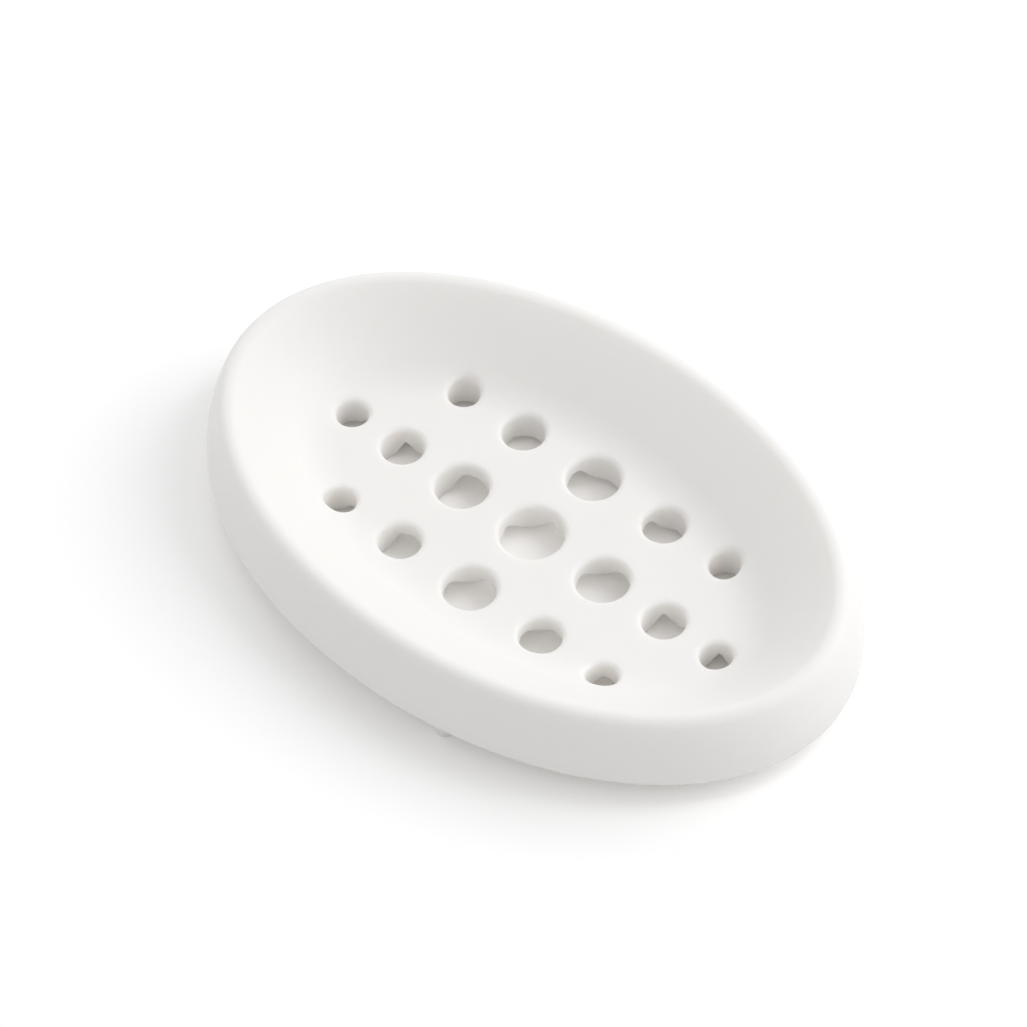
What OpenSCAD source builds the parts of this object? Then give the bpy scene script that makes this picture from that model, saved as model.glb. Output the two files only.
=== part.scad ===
// Oval soap dish: one thick moulding with a dished floor, seventeen drain holes, and four pressed-in feet.
// Lengths are millimetres. The origin lies on the standing surface under the middle of the dish,
// with X along the dish, Y across it and Z up.

/* [Dish] */
// Length of the dish at its widest line
dish_l = 138; // [126:1:170]
// Width of the dish at its widest line
dish_w = 90; // [84:1:120]
// Height of the rim's top above the standing surface
dish_h = 19; // [17:0.5:24]
// Height of the floor's top face above the standing surface
floor_top_h = 7.4; // [6.6:0.1:8.5]
// Thickness of the floor between the bumps of its underside
floor_t = 3.3; // [2.4:0.1:4]
// Height of the widest line of the outer wall
widest_h = 6; // [5:0.5:8]

/* [Rim and wall] */
// Radius of the rim's outer edge
edge_r = 2.2; // [1.6:0.1:3]
// Lean of the outer wall where it meets the rim's edge, in degrees
wall_lean = 24; // [18:1:28]
// Radius of the shoulder from the rim's top into the inner wall
shoulder_r = 2.5; // [1.5:0.5:5]
// Slope of the inner wall where it is steepest, in degrees
wall_slope = 37; // [34:1:46]
// Radius of the bend from the inner wall into the floor
bend_r = 12; // [9:1:16]

/* [Underside] */
// Height of the flat ring under the wall above the standing surface
base_h = 1.2; // [0.8:0.1:1.6]
// Distance from the widest line in to the flat ring
base_inset = 9.5; // [9:0.5:11]
// Width of the flat ring
base_ring_w = 5; // [4:0.5:6]
// Run of the slope from the flat ring up to the floor's underside
recess_run = 3; // [2:0.5:4]
// Height of the bumps' lowest points above the standing surface
bump_gap = 0.5; // [0.3:0.1:1]
// Diameter of the four bumps round the middle hole
middle_bump_d = 18.6; // [16:0.2:20]
// Diameter of the other bumps
bump_d = 12; // [10:0.5:13]
// Diameter of the bumps between the outer holes of neighbouring rows
side_bump_d = 13; // [11:0.5:14]
// Share of each bump's width that is flat underneath
bump_flat_share = 0.45; // [0.3:0.05:0.6]
// Depth to which the bumps are rooted in the floor
bump_root = 0.3; // [0.2:0.1:0.6]

/* [Drain holes] */
// Distance between the rows, and between the first two columns of each
hole_pitch = 17; // [16.5:0.25:18.5]
// Distance from the middle of the dish to the third column of holes
third_col_x = 31.6; // [31:0.1:33]
// Distance from the middle of the dish to the hole at each end
end_hole_x = 44; // [42.5:0.5:46]
// Diameter of the hole in the middle
middle_hole_d = 12; // [10:0.5:13]
// Diameter of the four holes next to the middle one
large_hole_d = 10; // [8:0.5:11]
// Diameter of the six holes next to those
medium_hole_d = 8; // [6:0.5:9]
// Diameter of the six holes at the ends of the rows
small_hole_d = 6; // [5:0.5:7]
// Radius of the rounded upper lip of each hole in the flat floor
lip_r = 1; // [0.5:0.1:1.5]
// Radius of the rounded upper lip of the small holes, which break into the wall's bend
bend_lip_r = 0.4; // [0.2:0.1:0.6]

/* [Feet] */
// Diameter of a foot
foot_d = 4; // [3.5:0.1:4.4]
// Height of a foot's shoulder, where it seats in its pocket
foot_seat_h = 3.6; // [3.5:0.1:4]
// Radius of the rounded lower edge of a foot
foot_edge_r = 0.8; // [0.4:0.1:1.2]
// Diameter of the stem that is pressed into the dish
stem_d = 2.4; // [2:0.1:2.8]
// Length of the stem
stem_l = 3; // [2:0.25:4]
// Distance from the widest line in to a foot's middle
foot_inset = 3.9; // [3.8:0.1:4.8]
// Direction of the first foot round the oval, in degrees of its parameter angle
first_foot_a = 283; // [274:1:300]
// Clearance round a foot and its stem in their pocket
foot_clear = 0.05; // [0.02:0.01:0.15]

/* [Smoothness] */
// Number of sides of the oval
oval_sides = 72; // [48:4:96]
// Number of steps in each bend of the wall's section
bend_steps = 6; // [4:1:8]

/* [Hidden] */
overrun = 2;
floor_under_h = floor_top_h - floor_t;
round_fn = 48;
full_a = 360;
half_a = full_a / 2;
quarter_a = full_a / 4;
dish_colour = [0.93, 0.93, 0.92];
foot_colour = [0.86, 0.86, 0.85];

// Radius of the outer wall's slow curve, and how far in from the widest line the rim's top lies
wall_r = (dish_h - widest_h - edge_r * (1 - sin(wall_lean))) / sin(wall_lean);
crest_inset = wall_r * (1 - cos(wall_lean)) + edge_r * cos(wall_lean);
// Rise and run of the straight stretch between the shoulder and the floor bend
straight_rise = dish_h - floor_top_h - (shoulder_r + bend_r) * (1 - cos(wall_slope));
straight_run = straight_rise / tan(wall_slope);
// Where the floor bend starts, as a distance in from the widest line
bend_inset = crest_inset + (shoulder_r + bend_r) * sin(wall_slope) + straight_run;

// Distances in and heights along the wall's section, from the floor over the rim to the underside
floor_bend = [for (i = [0:bend_steps])
    let (a = wall_slope * i / bend_steps)
    [bend_inset - bend_r * sin(a), floor_top_h + bend_r * (1 - cos(a))]];
shoulder = [for (i = [0:bend_steps])
    let (a = wall_slope * (1 - i / bend_steps))
    [crest_inset + shoulder_r * sin(a), dish_h - shoulder_r * (1 - cos(a))]];
rim_edge = [for (i = [1:bend_steps])
    let (a = quarter_a - (quarter_a - wall_lean) * i / bend_steps)
    [crest_inset - edge_r * cos(a), dish_h - edge_r * (1 - sin(a))]];
outer_wall = [for (i = [1:bend_steps])
    let (a = wall_lean * (1 - i / bend_steps))
    [wall_r * (1 - cos(a)), widest_h + wall_r * sin(a)]];
lower_wall = [for (i = [1:bend_steps])
    let (a = quarter_a * i / bend_steps)
    [base_inset * (1 - cos(a)), widest_h - (widest_h - base_h) * sin(a)]];
recess = [
    [base_inset + base_ring_w, base_h],
    [base_inset + base_ring_w + recess_run, floor_under_h]
];
section = concat(floor_bend, shoulder, rim_edge, outer_wall, lower_wall, recess);

// Places of the holes in one quarter of the dish, each with its diameter and the radius of its lip
quarter_holes = [
    [0, 0, middle_hole_d, lip_r],
    [hole_pitch, 0, large_hole_d, lip_r],
    [third_col_x, 0, medium_hole_d, lip_r],
    [end_hole_x, 0, small_hole_d, bend_lip_r],
    [0, hole_pitch, large_hole_d, lip_r],
    [hole_pitch, hole_pitch, medium_hole_d, lip_r],
    [third_col_x, hole_pitch, small_hole_d, bend_lip_r]
];

// Places of the underside's bumps in one quarter of the dish, each with its diameter
between_cols_x = (hole_pitch + third_col_x) / 2;
quarter_bumps = [
    [hole_pitch / 2, hole_pitch / 2, middle_bump_d],
    [between_cols_x, 0, bump_d],
    [between_cols_x, hole_pitch, bump_d],
    [third_col_x, hole_pitch / 2, side_bump_d]
];

// The sides on which a place away from an axis is repeated
function mirrored(v) = v == 0 ? [1] : [-1, 1];

// Children repeated at the places, with each place's diameter and lip radius in special variables
module at_all_quarters(places) {
    for (p = places, sx = mirrored(p.x), sy = mirrored(p.y))
        translate([sx * p.x, sy * p.y, 0])
            children_of_size(p.z, p[3]) children();
}

module children_of_size(d, lip) {
    $place_d = d;
    $place_lip = lip;
    children();
}

// Place number i of the four feet, a quarter turn apart round the oval
module at_foot(i) {
    a = first_foot_a + i * quarter_a;
    translate([(dish_l / 2 - foot_inset) * cos(a), (dish_w / 2 - foot_inset) * sin(a), 0])
        children();
}

// Solid wall and floor, lofted through one oval ring for each point of the section
module oval_shell() {
    rings = len(section);
    points = [for (p = section, k = [0:oval_sides - 1])
        let (a = full_a * k / oval_sides)
        [(dish_l / 2 - p[0]) * cos(a), (dish_w / 2 - p[0]) * sin(a), p[1]]];
    sides = [for (r = [0:rings - 2], k = [0:oval_sides - 1])
        let (n = (k + 1) % oval_sides, low = r * oval_sides, high = low + oval_sides)
        each [[low + k, high + k, high + n], [low + k, high + n, low + n]]];
    top = [for (k = [0:oval_sides - 1]) oval_sides - 1 - k];
    under = [for (k = [0:oval_sides - 1]) (rings - 1) * oval_sides + k];
    polyhedron(points = points, faces = concat([top, under], sides));
}

// One bump of the underside, whose side swings smoothly from the floor down to its flat
module bump(d) {
    flat_r = bump_flat_share * d / 2;
    root_h = floor_under_h + bump_root;
    side = [for (i = [0:bend_steps])
        let (a = half_a * i / bend_steps)
        [d / 2 - (d / 2 - flat_r) * i / bend_steps, bump_gap + (root_h - bump_gap) * (1 + cos(a)) / 2]];
    rotate_extrude($fn = round_fn)
        polygon(concat([[0, root_h + bump_root], [d / 2, root_h + bump_root]], side, [[0, bump_gap]]));
}

// Cutter for one drain hole, flared at the top to leave a rounded lip of radius r
module hole_cutter(d, r) {
    lip = [for (i = [0:bend_steps])
        let (a = quarter_a * i / bend_steps)
        [d / 2 + r * (1 - cos(a)), floor_top_h - r * (1 - sin(a))]];
    rotate_extrude($fn = round_fn)
        polygon(concat(
            [[0, -overrun], [d / 2, -overrun]],
            lip,
            [[d / 2 + r, dish_h + overrun], [0, dish_h + overrun]]
        ));
}

// Pocket and blind socket for one foot
module foot_pocket() {
    translate([0, 0, -overrun])
        cylinder(d = foot_d + 2 * foot_clear, h = foot_seat_h + overrun, $fn = round_fn);
    cylinder(d = stem_d + 2 * foot_clear, h = foot_seat_h + stem_l + foot_clear, $fn = round_fn);
}

module dish_body() {
    color(dish_colour)
        difference() {
            union() {
                oval_shell();
                at_all_quarters(quarter_bumps) bump($place_d);
            }
            at_all_quarters(quarter_holes) hole_cutter($place_d, $place_lip);
            for (i = [0:3])
                at_foot(i) foot_pocket();
        }
}

// One foot: a round pad with a rounded lower edge, and the stem that holds it in the dish
module foot() {
    edge = [for (i = [0:bend_steps])
        let (a = quarter_a * i / bend_steps)
        [foot_d / 2 - foot_edge_r * (1 - sin(a)), foot_edge_r * (1 - cos(a))]];
    rotate_extrude($fn = round_fn)
        polygon(concat(
            [[0, 0]],
            edge,
            [
                [foot_d / 2, foot_seat_h],
                [stem_d / 2, foot_seat_h],
                [stem_d / 2, foot_seat_h + stem_l],
                [0, foot_seat_h + stem_l]
            ]
        ));
}

module front_foot() {
    color(foot_colour) at_foot(0) foot();
}

module right_foot() {
    color(foot_colour) at_foot(1) foot();
}

module rear_foot() {
    color(foot_colour) at_foot(2) foot();
}

module left_foot() {
    color(foot_colour) at_foot(3) foot();
}

dish_body();
front_foot();
right_foot();
rear_foot();
left_foot();
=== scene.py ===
import math

import bmesh
import bpy
from mathutils import Matrix, Vector, geometry


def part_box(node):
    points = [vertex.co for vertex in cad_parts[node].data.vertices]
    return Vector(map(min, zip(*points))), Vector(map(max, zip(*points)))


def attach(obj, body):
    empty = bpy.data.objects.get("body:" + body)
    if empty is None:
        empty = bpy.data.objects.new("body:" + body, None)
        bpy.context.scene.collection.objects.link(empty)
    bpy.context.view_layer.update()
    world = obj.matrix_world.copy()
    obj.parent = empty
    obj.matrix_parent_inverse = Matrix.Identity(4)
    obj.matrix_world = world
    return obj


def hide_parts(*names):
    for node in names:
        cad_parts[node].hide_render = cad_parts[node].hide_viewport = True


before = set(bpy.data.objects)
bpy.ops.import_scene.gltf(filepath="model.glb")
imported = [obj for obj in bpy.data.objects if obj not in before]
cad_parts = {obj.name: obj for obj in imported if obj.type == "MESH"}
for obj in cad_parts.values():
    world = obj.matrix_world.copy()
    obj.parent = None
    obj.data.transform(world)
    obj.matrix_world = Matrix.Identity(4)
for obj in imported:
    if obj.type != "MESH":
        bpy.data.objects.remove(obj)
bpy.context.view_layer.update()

MM = 0.001
FULL_TURN = 2 * math.pi
QUARTER = math.pi / 2
UP = Vector((0, 0, 1))

# Sizes that the frame gives
body_low, body_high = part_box("dish_body")
LENGTH = body_high.x - body_low.x
WIDTH = body_high.y - body_low.y
RIM_H = body_high.z

# Heights above the standing surface
FLOOR_H = 7.4 * MM
FLOOR_T = 3.3 * MM
WIDEST_H = 6 * MM
BASE_H = 1.2 * MM
BUMP_GAP = 0.5 * MM

# Section of the wall, with distances in from the widest line
EDGE_R = 2.2 * MM
WALL_LEAN = math.radians(24)
SHOULDER_R = 2.5 * MM
BEND_R = 12 * MM
WALL_SLOPE = math.radians(37)
BASE_INSET = 9.5 * MM
BASE_RING = 14 * MM
RECESS_RUN = 3 * MM

# Insets at which the swept wall meets the perforated floor, above and below
FLOOR_EDGE_INSET = 17.6 * MM
UNDER_EDGE_INSET = 17.5 * MM

# Drain holes: pitch, columns and diameters
PITCH = 17 * MM
THIRD_COL = 31.6 * MM
END_COL = 44 * MM
HOLE_D = {"middle": 12 * MM, "large": 10 * MM, "medium": 8 * MM, "small": 6 * MM}
LIP_R = 1.1 * MM
LOWER_EDGE_R = 0.4 * MM

# Bumps of the underside
MIDDLE_BUMP_R = 9.3 * MM
BUMP_R = 6 * MM
SIDE_BUMP_R = 6.5 * MM
BUMP_TOP_SHARE = 0.45

# Feet
FOOT_NAMES = ("front_foot", "right_foot", "rear_foot", "left_foot")
FOOT_D = 4 * MM
FOOT_SEAT_H = 3.6 * MM
FOOT_EDGE_R = 0.8 * MM
FOOT_CHAMFER = 0.3 * MM
STEM_D = 2.4 * MM
STEM_L = 3 * MM
FOOT_INSET = 3.9 * MM
FIRST_FOOT_A = math.radians(283)
FOOT_CLEAR = 0.05 * MM
POCKET_OVERRUN = 2 * MM

# Fineness of the meshes
OVAL_SIDES = 288
FOOT_SIDES = 64
BEND_STEPS = 14
FOOT_EDGE_STEPS = 7
HOLE_SIDES = 72
LIP_STEPS = 7
LOWER_EDGE_STEPS = 3
HOLE_WALL_SHARES = (0.25, 0.5, 0.75)
SPACING = 1.5 * MM
GUARD = 0.4 * SPACING
HALVINGS = 40
WELD = 0.002 * MM
FINE_WELD = 0.0001 * MM
CRISP = math.radians(40)
# The fill leaves slivers inside the sides of a hole's circle. They are this share of its radius deep at most.
SLIVER = 0.4 * (1 - math.cos(FULL_TURN / HOLE_SIDES))

# Moulded silicone: sizes of its faint cloudiness and of its blasted grain
CLOUD_MM = 22
GRAIN_MM = 0.35
GRAIN_DEPTH = 0.02 * MM

# Table: how much light it returns, how bright it shows, and where it turns into the backdrop
TABLE_REACH = 3.0
TABLE_TONE = 0.85
TABLE_SHOWN = 1.17
FADE_START = 250 * MM
FADE_END = 600 * MM

# Light: the sky's level, and the lamps, whose azimuth is counted from the camera's right towards the back.
# Daylight is slightly cool, so that the lit faces of the warm white silicone look neutral.
SKY_LEVEL = 0.57
WHITE = (1, 1, 1)
DAYLIGHT = (0.975, 0.988, 1.0)
LAMP_DISTANCE = 1.2
LAMPS = (
    # name, azimuth, elevation, size, power, tint
    ("right window", 15, 35, 0.8, 3.35, DAYLIGHT),
    ("near window", -20, 35, 0.8, 1.6, WHITE),
    ("far window", 107, 35, 0.8, 2.2, DAYLIGHT),
    ("ceiling", 10, 60, 0.4, 1.4, WHITE),
    ("low left card", 185, 4, 0.15, 0.9, WHITE),
)
LIGHT_BOUNCES = 24
DIFFUSE_BOUNCES = 16

# The photograph's view, found from the drain holes and the outline
PHOTO_SIDE = 1027
VIEW_AZIMUTH = math.radians(42.7)
VIEW_ELEVATION = math.radians(50.0)
VIEW_ROLL = math.radians(-1.6)
VIEW_DISTANCE = 1.4
PIXELS_PER_MM = 5.5
SENSOR_WIDTH = 36.0
AIM = Vector((-5.4 * MM, 1.1 * MM, FLOOR_H))


def four_ways(x, y, size):
    """The places that mirror (x, y) about both axes, each with its size."""
    return [(sx * x, sy * y, size) for sx in ((1, -1) if x else (1,)) for sy in ((1, -1) if y else (1,))]


HOLES = [
    place
    for x, y, kind in (
        (0, 0, "middle"),
        (PITCH, 0, "large"),
        (0, PITCH, "large"),
        (PITCH, PITCH, "medium"),
        (THIRD_COL, 0, "medium"),
        (THIRD_COL, PITCH, "small"),
        (END_COL, 0, "small"),
    )
    for place in four_ways(x, y, HOLE_D[kind] / 2)
]
BUMPS = [
    place
    for x, y, radius in (
        (PITCH / 2, PITCH / 2, MIDDLE_BUMP_R),
        ((PITCH + THIRD_COL) / 2, 0, BUMP_R),
        ((PITCH + THIRD_COL) / 2, PITCH, BUMP_R),
        ((THIRD_COL + END_COL) / 2, 0, BUMP_R),
        (THIRD_COL, PITCH / 2, SIDE_BUMP_R),
    )
    for place in four_ways(x, y, radius)
]


# The wall's section: each arc is a list of (distance in from the widest line, height)


def arc(steps, place):
    return [place(i / steps) for i in range(steps + 1)]


# Radius of the outer wall's slow curve, and how far in the top of the rim lies
WALL_R = (RIM_H - WIDEST_H - EDGE_R * (1 - math.sin(WALL_LEAN))) / math.sin(WALL_LEAN)
CREST_INSET = WALL_R * (1 - math.cos(WALL_LEAN)) + EDGE_R * math.cos(WALL_LEAN)


def bend_start():
    """Distance in from the widest line at which the flat floor ends."""
    round_rise = (SHOULDER_R + BEND_R) * (1 - math.cos(WALL_SLOPE))
    straight_run = (RIM_H - FLOOR_H - round_rise) / math.tan(WALL_SLOPE)
    return CREST_INSET + (SHOULDER_R + BEND_R) * math.sin(WALL_SLOPE) + straight_run


BEND_INSET = bend_start()


def bend(angle):
    return BEND_INSET - BEND_R * math.sin(angle), FLOOR_H + BEND_R * (1 - math.cos(angle))


def shoulder(angle):
    return CREST_INSET + SHOULDER_R * math.sin(angle), RIM_H - SHOULDER_R * (1 - math.cos(angle))


def edge(angle):
    return CREST_INSET - EDGE_R * math.cos(angle), RIM_H - EDGE_R * (1 - math.sin(angle))


def outer(angle):
    return WALL_R * (1 - math.cos(angle)), WIDEST_H + WALL_R * math.sin(angle)


def lower(angle):
    return BASE_INSET * (1 - math.cos(angle)), WIDEST_H - (WIDEST_H - BASE_H) * math.sin(angle)


def wall_section():
    """From the floor's edge up the inner wall, over the rim, down and in along the flat ring."""
    edge_angle = math.asin((BEND_INSET - FLOOR_EDGE_INSET) / BEND_R)
    inner = arc(BEND_STEPS, lambda s: bend(edge_angle + (WALL_SLOPE - edge_angle) * s))
    top = arc(BEND_STEPS, lambda s: shoulder(WALL_SLOPE * (1 - s)))
    over = arc(BEND_STEPS, lambda s: edge(QUARTER + (WALL_LEAN - QUARTER) * s))[1:]
    outside = arc(BEND_STEPS, lambda s: outer(WALL_LEAN * (1 - s)))[1:]
    under = arc(BEND_STEPS, lambda s: lower(QUARTER * s))[1:]
    return inner + top + over + outside + under + [(UNDER_EDGE_INSET, BASE_H)]


def oval_point(inset, angle, height=0.0):
    return Vector(((LENGTH / 2 - inset) * math.cos(angle), (WIDTH / 2 - inset) * math.sin(angle), height))


def inset_at(x, y, most):
    """The inset of the oval that passes through (x, y), or most if that is less."""

    def outside(inset):
        return (x / (LENGTH / 2 - inset)) ** 2 + (y / (WIDTH / 2 - inset)) ** 2 > 1

    low, high = 0.0, most
    if not outside(high):
        return high
    for _ in range(HALVINGS):
        middle = (low + high) / 2
        low, high = (low, middle) if outside(middle) else (middle, high)
    return (low + high) / 2


def floor_height(x, y):
    """Height of the floor's top, which bends up into the wall."""
    rise = (BEND_INSET - inset_at(x, y, BEND_INSET)) / BEND_R
    return FLOOR_H + BEND_R * (1 - math.sqrt(1 - rise * rise))


def smooth_step(share):
    t = min(max(share, 0.0), 1.0)
    return t * t * (3 - 2 * t)


def under_height(x, y):
    """Height of the underside: the flat ring, the recess inside it and the recess's rounded bumps."""
    web = FLOOR_H - FLOOR_T
    ring_end = BASE_INSET + BASE_RING
    recess = (inset_at(x, y, ring_end + RECESS_RUN) - ring_end) / RECESS_RUN
    height = BASE_H + (web - BASE_H) * smooth_step(recess)
    for bx, by, radius in BUMPS:
        share = math.hypot(x - bx, y - by) / radius
        side = smooth_step((share - BUMP_TOP_SHARE) / (1 - BUMP_TOP_SHARE))
        height = min(height, BUMP_GAP + (web - BUMP_GAP) * side)
    return height


# Nodes of a geometry or material tree


def node(tree, kind, settings=None, inputs=None):
    """Adds one node, sets its properties, and sets or links its inputs."""
    made = tree.nodes.new(kind)
    for name, value in (settings or {}).items():
        setattr(made, name, value)
    for name, value in (inputs or {}).items():
        if isinstance(value, bpy.types.NodeSocket):
            tree.links.new(value, made.inputs[name])
        else:
            made.inputs[name].default_value = value
    return made


def maths(tree, operation, *values):
    """The result of one math node on numbers or sockets."""
    return node(tree, "ShaderNodeMath", {"operation": operation}, dict(enumerate(values))).outputs[0]


# Geometry Nodes: one tree sweeps a section round an oval or a circle


def sweep_tree():
    """Tree that takes a section's points (distance in, 0, height) and sweeps them round an oval."""
    tree = bpy.data.node_groups.new("swept section", "GeometryNodeTree")
    for name, kind in (
        ("Section", "NodeSocketGeometry"),
        ("Length", "NodeSocketFloat"),
        ("Width", "NodeSocketFloat"),
        ("Sides", "NodeSocketInt"),
        ("Points", "NodeSocketInt"),
        ("Centre", "NodeSocketVector"),
        ("Material", "NodeSocketMaterial"),
    ):
        tree.interface.new_socket(name, in_out="INPUT", socket_type=kind)
    tree.interface.new_socket("Swept", in_out="OUTPUT", socket_type="NodeSocketGeometry")

    given = node(tree, "NodeGroupInput").outputs
    grid = node(
        tree,
        "GeometryNodeMeshGrid",
        inputs={"Vertices X": maths(tree, "ADD", given["Sides"], 1.0), "Vertices Y": given["Points"]},
    )
    index = node(tree, "GeometryNodeInputIndex").outputs[0]
    around = maths(tree, "FLOOR", maths(tree, "DIVIDE", index, given["Points"]))
    along = maths(tree, "MODULO", index, given["Points"])
    angle = maths(tree, "MULTIPLY", maths(tree, "DIVIDE", around, given["Sides"]), FULL_TURN)

    place = node(tree, "GeometryNodeInputPosition").outputs[0]
    sample = node(
        tree,
        "GeometryNodeSampleIndex",
        {"data_type": "FLOAT_VECTOR", "domain": "POINT"},
        {"Geometry": given["Section"], "Index": along, "Value": place},
    )
    part = node(tree, "ShaderNodeSeparateXYZ", inputs={0: sample.outputs[0]})
    spot = {"Z": part.outputs["Z"]}
    for axis, size, wave in (("X", "Length", "COSINE"), ("Y", "Width", "SINE")):
        reach = maths(tree, "SUBTRACT", maths(tree, "DIVIDE", given[size], 2.0), part.outputs["X"])
        spot[axis] = maths(tree, "MULTIPLY", reach, maths(tree, wave, angle))
    position = node(tree, "ShaderNodeCombineXYZ", inputs=spot)
    shaped = node(
        tree,
        "GeometryNodeSetPosition",
        inputs={"Geometry": grid.outputs["Mesh"], "Position": position.outputs[0], "Offset": given["Centre"]},
    )
    closed = node(
        tree,
        "GeometryNodeMergeByDistance",
        inputs={"Geometry": shaped.outputs[0], "Distance": FINE_WELD},
    )
    real = node(tree, "GeometryNodeRealizeInstances", inputs={"Geometry": closed.outputs[0]})
    dressed = node(
        tree,
        "GeometryNodeSetMaterial",
        inputs={"Geometry": real.outputs[0], "Material": given["Material"]},
    )
    node(tree, "NodeGroupOutput", inputs={"Swept": dressed.outputs[0]})
    return tree


def swept(name, section, tree, **sizes):
    """A plain mesh of the section swept by the tree, whose named inputs are set from sizes."""
    mesh = bpy.data.meshes.new(name + "_section")
    mesh.from_pydata([(inset, 0, height) for inset, height in section], [], [])
    rough = add_piece(name + "_section", mesh)
    modifier = rough.modifiers.new("sweep", "NODES")
    modifier.node_group = tree
    named = {item.name: item.identifier for item in tree.interface.items_tree if item.item_type == "SOCKET"}
    for size, value in {"Points": len(section), **sizes}.items():
        modifier[named[size]] = value
    rough.update_tag()
    bpy.context.view_layer.update()
    result = evaluated_mesh(rough)
    result.name = name
    bpy.data.objects.remove(rough)
    bpy.data.meshes.remove(mesh)
    return result


def swept_round(name, section, tree, number, material):
    """The section of a foot or its pocket, swept round the middle of foot number."""
    return swept(
        name,
        section,
        tree,
        Length=FOOT_D,
        Width=FOOT_D,
        Sides=FOOT_SIDES,
        Centre=oval_point(FOOT_INSET, FIRST_FOOT_A + number * QUARTER),
        Material=material,
    )


def add_piece(name, mesh):
    piece = bpy.data.objects.new(name, mesh)
    bpy.context.scene.collection.objects.link(piece)
    return piece


def evaluated_mesh(piece):
    view = bpy.context.evaluated_depsgraph_get()
    return bpy.data.meshes.new_from_object(piece.evaluated_get(view), depsgraph=view)


# The perforated floor


def circle(sides):
    return [(math.cos(FULL_TURN * i / sides), math.sin(FULL_TURN * i / sides)) for i in range(sides)]


def ring_count(inset):
    """How many points fit round the oval at this inset."""
    a, b = LENGTH / 2 - inset, max(WIDTH / 2 - inset, 0)
    around = FULL_TURN * math.sqrt((a * a + b * b) / 2)
    return max(12, round(around / SPACING))


def clear_of_holes(x, y, gap):
    return all(math.hypot(x - hx, y - hy) > radius + gap for hx, hy, radius in HOLES)


def perforated_plan(edge_inset, flare):
    """Triangles that fill the oval at edge_inset round the holes, whose circles are wider by flare."""
    spots, edges = [], []

    def loop(points):
        first = len(spots)
        spots.extend(points)
        edges.extend((first + i, first + (i + 1) % len(points)) for i in range(len(points)))

    loop([oval_point(edge_inset, FULL_TURN * i / OVAL_SIDES).to_2d() for i in range(OVAL_SIDES)])
    for x, y, radius in HOLES:
        rim, guard = radius + flare, radius + flare + GUARD
        loop([Vector((x + rim * c, y + rim * s)) for c, s in circle(HOLE_SIDES)])
        spots.extend(Vector((x + guard * c, y + guard * s)) for c, s in circle(HOLE_SIDES // 2))
    inset, shift = edge_inset + SPACING, 0.5
    while inset < WIDTH / 2:
        count = ring_count(inset)
        for i in range(count):
            spot = oval_point(inset, FULL_TURN * (i + shift) / count).to_2d()
            if clear_of_holes(spot.x, spot.y, flare + SPACING):
                spots.append(spot)
        inset, shift = inset + SPACING, 0.5 - shift
    points, _, faces, _, _, _ = geometry.delaunay_2d_cdt(spots, edges, [], 1, FINE_WELD)

    def outside_holes(face):
        middle = sum((points[i] for i in face), Vector((0, 0))) / len(face)
        return all(
            math.hypot(middle.x - x, middle.y - y) > (radius + flare) * (1 - SLIVER) for x, y, radius in HOLES
        )

    return points, [face for face in faces if outside_holes(face)]


def hole_loops(x, y, radius):
    """Rings of points down one hole: its rounded lip, its wall and its lower edge."""

    def lip(step):
        angle = QUARTER * step / LIP_STEPS
        drop = LIP_R * (1 - math.cos(angle))
        return LIP_R * (1 - math.sin(angle)), lambda px, py: floor_height(px, py) - drop

    def wall(share):
        def height(px, py):
            top = floor_height(px, py) - LIP_R
            low = under_height(px, py) + LOWER_EDGE_R
            return (1 - share) * top + share * low

        return 0.0, height

    def lower_edge(step):
        angle = QUARTER * step / LOWER_EDGE_STEPS
        lift = LOWER_EDGE_R * (1 - math.sin(angle))
        return LOWER_EDGE_R * (1 - math.cos(angle)), lambda px, py: under_height(px, py) + lift

    rings = [lip(step) for step in range(LIP_STEPS + 1)]
    rings += [wall(share) for share in HOLE_WALL_SHARES]
    rings += [lower_edge(step) for step in range(LOWER_EDGE_STEPS + 1)]
    loops = []
    for flare, height in rings:
        reach = radius + flare
        spots = [(x + reach * c, y + reach * s) for c, s in circle(HOLE_SIDES)]
        loops.append([(px, py, height(px, py)) for px, py in spots])
    return loops


def add_faces(shape, points, faces, height, flip):
    made = [shape.verts.new((p.x, p.y, height(p.x, p.y))) for p in points]
    for face in faces:
        corners = [made[i] for i in face]
        shape.faces.new(reversed(corners) if flip else corners)


def add_hole_wall(shape, hole):
    loops = [[shape.verts.new(point) for point in loop] for loop in hole_loops(*hole)]
    for one, two in zip(loops, loops[1:]):
        for i in range(HOLE_SIDES):
            k = (i + 1) % HOLE_SIDES
            shape.faces.new((one[i], one[k], two[k], two[i]))


def weld(shape, distance):
    """Joins the points that lie together, and turns the faces outward."""
    bmesh.ops.remove_doubles(shape, verts=shape.verts, dist=distance)
    bmesh.ops.recalc_face_normals(shape, faces=shape.faces)


def dish_mesh(tree, material):
    """The whole moulding but for its foot pockets: swept wall, perforated floor and hole walls."""
    wall = swept(
        "dish_wall",
        wall_section(),
        tree,
        Length=LENGTH,
        Width=WIDTH,
        Sides=OVAL_SIDES,
        Centre=(0, 0, 0),
        Material=material,
    )
    shape = bmesh.new()
    shape.from_mesh(wall)
    bpy.data.meshes.remove(wall)
    add_faces(shape, *perforated_plan(FLOOR_EDGE_INSET, LIP_R), floor_height, False)
    add_faces(shape, *perforated_plan(UNDER_EDGE_INSET, LOWER_EDGE_R), under_height, True)
    for hole in HOLES:
        add_hole_wall(shape, hole)
    weld(shape, WELD)
    mesh = bpy.data.meshes.new("dish_moulding")
    shape.to_mesh(mesh)
    shape.free()
    mesh.materials.append(material)
    return mesh


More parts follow.
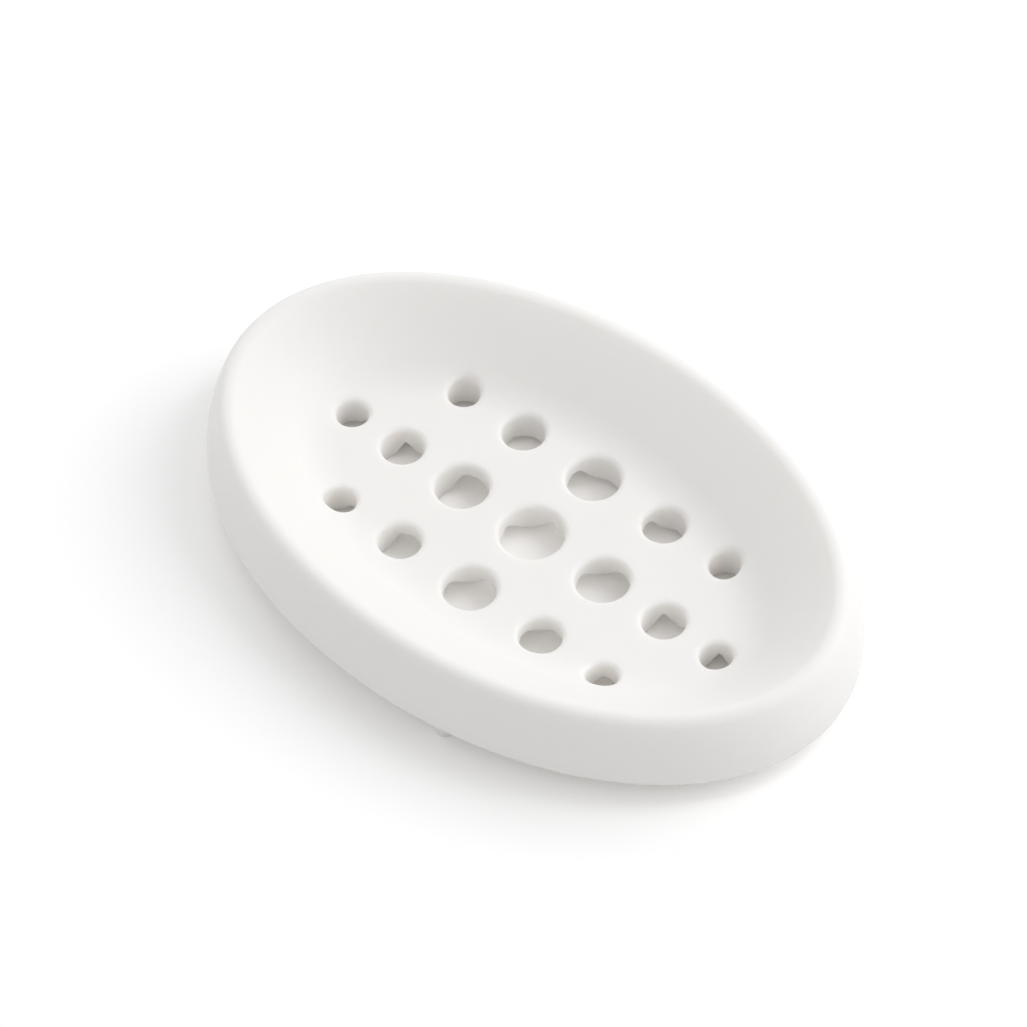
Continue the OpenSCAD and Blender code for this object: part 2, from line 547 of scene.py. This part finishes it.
# Feet and their pockets: each section runs from the middle out and back, with distances in from the foot's side


def pocket_section():
    """Section of one foot pocket and its blind socket, from the mouth to the top."""
    wide, narrow = -FOOT_CLEAR, (FOOT_D - STEM_D) / 2 - FOOT_CLEAR
    top = FOOT_SEAT_H + STEM_L + FOOT_CLEAR
    return [
        (FOOT_D / 2, -POCKET_OVERRUN),
        (wide, -POCKET_OVERRUN),
        (wide, FOOT_SEAT_H),
        (narrow, FOOT_SEAT_H),
        (narrow, top),
        (FOOT_D / 2, top),
    ]


def foot_section():
    """Section of one foot from the middle of its underside up to the top of its stem."""

    def round_edge(share):
        angle = QUARTER * share
        return FOOT_EDGE_R * (1 - math.sin(angle)), FOOT_EDGE_R * (1 - math.cos(angle))

    stem = (FOOT_D - STEM_D) / 2
    top = FOOT_SEAT_H + STEM_L
    return [
        (FOOT_D / 2, 0),
        *arc(FOOT_EDGE_STEPS, round_edge),
        (0, FOOT_SEAT_H - FOOT_CHAMFER / 2),
        (FOOT_CHAMFER / 2, FOOT_SEAT_H),
        (stem, FOOT_SEAT_H),
        (stem, top - FOOT_CHAMFER),
        (stem + FOOT_CHAMFER, top),
        (FOOT_D / 2, top),
    ]


def cut_pockets(dish, tree, material):
    """Cuts the four foot pockets into the dish."""
    shape = bmesh.new()
    for number in range(len(FOOT_NAMES)):
        pocket = swept_round("pocket", pocket_section(), tree, number, material)
        shape.from_mesh(pocket)
        bpy.data.meshes.remove(pocket)
    weld(shape, FINE_WELD)
    mesh = bpy.data.meshes.new("pockets")
    shape.to_mesh(mesh)
    shape.free()
    cutter = add_piece("pockets", mesh)
    cut = dish.modifiers.new("pockets", "BOOLEAN")
    cut.operation = "DIFFERENCE"
    cut.solver = "EXACT"
    cut.object = cutter
    result = evaluated_mesh(dish)
    dish.modifiers.remove(cut)
    old, dish.data = dish.data, result
    bpy.data.meshes.remove(old)
    bpy.data.objects.remove(cutter)
    bpy.data.meshes.remove(mesh)


def smooth(mesh):
    """Shades the mesh smooth, but keeps its crisp edges."""
    shape = bmesh.new()
    shape.from_mesh(mesh)
    for face in shape.faces:
        face.smooth = True
    for side in shape.edges:
        side.smooth = len(side.link_faces) != 2 or side.calc_face_angle(0) < CRISP
    shape.to_mesh(mesh)
    shape.free()


def foot_mesh(name, tree, number, material):
    mesh = swept_round(name, foot_section(), tree, number, material)
    shape = bmesh.new()
    shape.from_mesh(mesh)
    weld(shape, FINE_WELD)
    shape.to_mesh(mesh)
    shape.free()
    return mesh


# Materials


def colour(text):
    """sRGB hex to linear colour."""
    parts = [int(text[i : i + 2], 16) / 255 for i in (1, 3, 5)]
    return [p / 12.92 if p <= 0.04045 else ((p + 0.055) / 1.055) ** 2.4 for p in parts] + [1.0]


def grey(level):
    return (level, level, level, 1)


def noise(tree, size_mm, detail, roughness):
    """Noise whose features are about size_mm across, fixed to the piece."""
    where = node(tree, "ShaderNodeTexCoord")
    return node(
        tree,
        "ShaderNodeTexNoise",
        inputs={
            "Vector": where.outputs["Object"],
            "Scale": 1 / (size_mm * MM),
            "Detail": detail,
            "Roughness": roughness,
        },
    ).outputs["Fac"]


def empty_material(name):
    material = bpy.data.materials.new(name)
    material.use_nodes = True
    material.node_tree.nodes.clear()
    return material


def moulded_silicone(name, tint, shade):
    """Matte white silicone rubber from a blasted mould: soft, slightly translucent, with a very fine grain
    that spreads the highlight, and a faint cloudiness in its whiteness."""
    material = empty_material(name)
    tree = material.node_tree
    tone = node(
        tree,
        "ShaderNodeMix",
        {"data_type": "RGBA"},
        {"Factor": noise(tree, CLOUD_MM, 3.0, 0.5), "A": colour(shade), "B": colour(tint)},
    )
    relief = node(
        tree,
        "ShaderNodeBump",
        inputs={"Strength": 0.12, "Distance": GRAIN_DEPTH, "Height": noise(tree, GRAIN_MM, 2.0, 0.6)},
    )
    skin = node(
        tree,
        "ShaderNodeBsdfPrincipled",
        inputs={
            "Base Color": tone.outputs["Result"],
            "Roughness": 0.55,
            "IOR": 1.41,
            "Specular IOR Level": 0.4,
            "Subsurface Weight": 0.4,
            "Subsurface Radius": (1.0, 0.9, 0.8),
            "Subsurface Scale": 3 * MM,
            "Normal": relief.outputs[0],
        },
    )
    node(tree, "ShaderNodeOutputMaterial", inputs={"Surface": skin.outputs[0]})
    return material


def shown(tree):
    """1 for a ray that shows a surface to the camera, directly or by a mirror or glass, and 0 for light."""
    path = node(tree, "ShaderNodeLightPath")
    share = path.outputs["Is Camera Ray"]
    for kind in ("Is Glossy Ray", "Is Transmission Ray"):
        share = maths(tree, "MAXIMUM", share, path.outputs[kind])
    return share


def white_table():
    """Smooth white table. Where it shows it reads as paper white away from the shadow, and far from the
    dish it turns into the plain white of the backdrop."""
    material = empty_material("white table")
    material.cycles.emission_sampling = "NONE"
    tree = material.node_tree
    seen = shown(tree)
    tone = node(
        tree,
        "ShaderNodeMix",
        {"data_type": "RGBA"},
        {"Factor": seen, "A": grey(TABLE_TONE), "B": grey(TABLE_SHOWN)},
    )
    matte = node(tree, "ShaderNodeBsdfDiffuse", inputs={"Color": tone.outputs["Result"]})
    where = node(tree, "ShaderNodeTexCoord")
    away = node(tree, "ShaderNodeVectorMath", {"operation": "LENGTH"}, {0: where.outputs["Object"]})
    fade = node(
        tree,
        "ShaderNodeMapRange",
        {"interpolation_type": "SMOOTHSTEP"},
        {"Value": away.outputs["Value"], "From Min": FADE_START, "From Max": FADE_END},
    )
    backdrop = node(tree, "ShaderNodeEmission", inputs={"Color": grey(1.0), "Strength": 1.0})
    surface = node(
        tree,
        "ShaderNodeMixShader",
        inputs={
            0: maths(tree, "MULTIPLY", fade.outputs["Result"], seen),
            1: matte.outputs[0],
            2: backdrop.outputs[0],
        },
    )
    node(tree, "ShaderNodeOutputMaterial", inputs={"Surface": surface.outputs[0]})
    return material


# Stage, lights and camera


def table():
    reach = TABLE_REACH
    mesh = bpy.data.meshes.new("table")
    mesh.from_pydata(
        [(-reach, -reach, 0), (reach, -reach, 0), (reach, reach, 0), (-reach, reach, 0)], [], [(0, 1, 2, 3)]
    )
    mesh.materials.append(white_table())
    add_piece("table", mesh)


def sky():
    """White all round. It shows at full strength and lights the dish at a lower one."""
    world = bpy.data.worlds.new("studio")
    bpy.context.scene.world = world
    world.use_nodes = True
    tree = world.node_tree
    tree.nodes.clear()
    level = node(tree, "ShaderNodeMix", {"data_type": "FLOAT"}, {"Factor": shown(tree), "A": SKY_LEVEL, "B": 1.0})
    glow = node(
        tree,
        "ShaderNodeBackground",
        inputs={"Color": grey(1.0), "Strength": level.outputs["Result"]},
    )
    node(tree, "ShaderNodeOutputWorld", inputs={"Surface": glow.outputs[0]})


def lamp(name, azimuth, elevation, size, power, tint):
    """Round area lamp that faces the dish."""
    data = bpy.data.lights.new(name, "AREA")
    data.shape = "DISK"
    data.size = size
    data.energy = power
    data.color = tint
    turn = math.radians(azimuth) + VIEW_AZIMUTH
    lift = math.radians(elevation)
    away = Vector((math.cos(turn) * math.cos(lift), math.sin(turn) * math.cos(lift), math.sin(lift)))
    made = add_piece(name, data)
    made.location = away * LAMP_DISTANCE
    made.rotation_euler = away.to_track_quat("Z", "Y").to_euler()


def camera():
    data = bpy.data.cameras.new("camera")
    data.sensor_width = SENSOR_WIDTH
    data.lens = SENSOR_WIDTH * PIXELS_PER_MM / MM * VIEW_DISTANCE / PHOTO_SIDE
    data.clip_start, data.clip_end = 0.05, 20
    a, e, r = VIEW_AZIMUTH, VIEW_ELEVATION, VIEW_ROLL
    back = Vector((math.sin(a) * math.cos(e), -math.cos(a) * math.cos(e), math.sin(e)))
    level = UP.cross(back).normalized()
    rise = back.cross(level)
    right = math.cos(r) * level + math.sin(r) * rise
    up = math.cos(r) * rise - math.sin(r) * level
    made = add_piece("camera", data)
    turn = Matrix((right, up, back)).transposed().to_4x4()
    made.matrix_world = Matrix.Translation(AIM + back * VIEW_DISTANCE) @ turn
    bpy.context.scene.camera = made


def finish_piece(piece, cad_node):
    smooth(piece.data)
    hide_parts(cad_node)
    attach(piece, "root")


silicone = moulded_silicone("moulded silicone, dish", "#FBF9F6", "#F9F6F3")
foot_silicone = moulded_silicone("moulded silicone, feet", "#F3F1EE", "#EFEDEA")
sweep = sweep_tree()

dish = add_piece("dish_moulding", dish_mesh(sweep, silicone))
cut_pockets(dish, sweep, silicone)
finish_piece(dish, "dish_body")
for number, name in enumerate(FOOT_NAMES):
    foot = add_piece(name + "_pad", foot_mesh(name + "_pad", sweep, number, foot_silicone))
    finish_piece(foot, name)

table()
sky()
for one in LAMPS:
    lamp(*one)
camera()
scene = bpy.context.scene
scene.view_settings.view_transform = "Standard"
scene.cycles.max_bounces = LIGHT_BOUNCES
scene.cycles.diffuse_bounces = DIFFUSE_BOUNCES
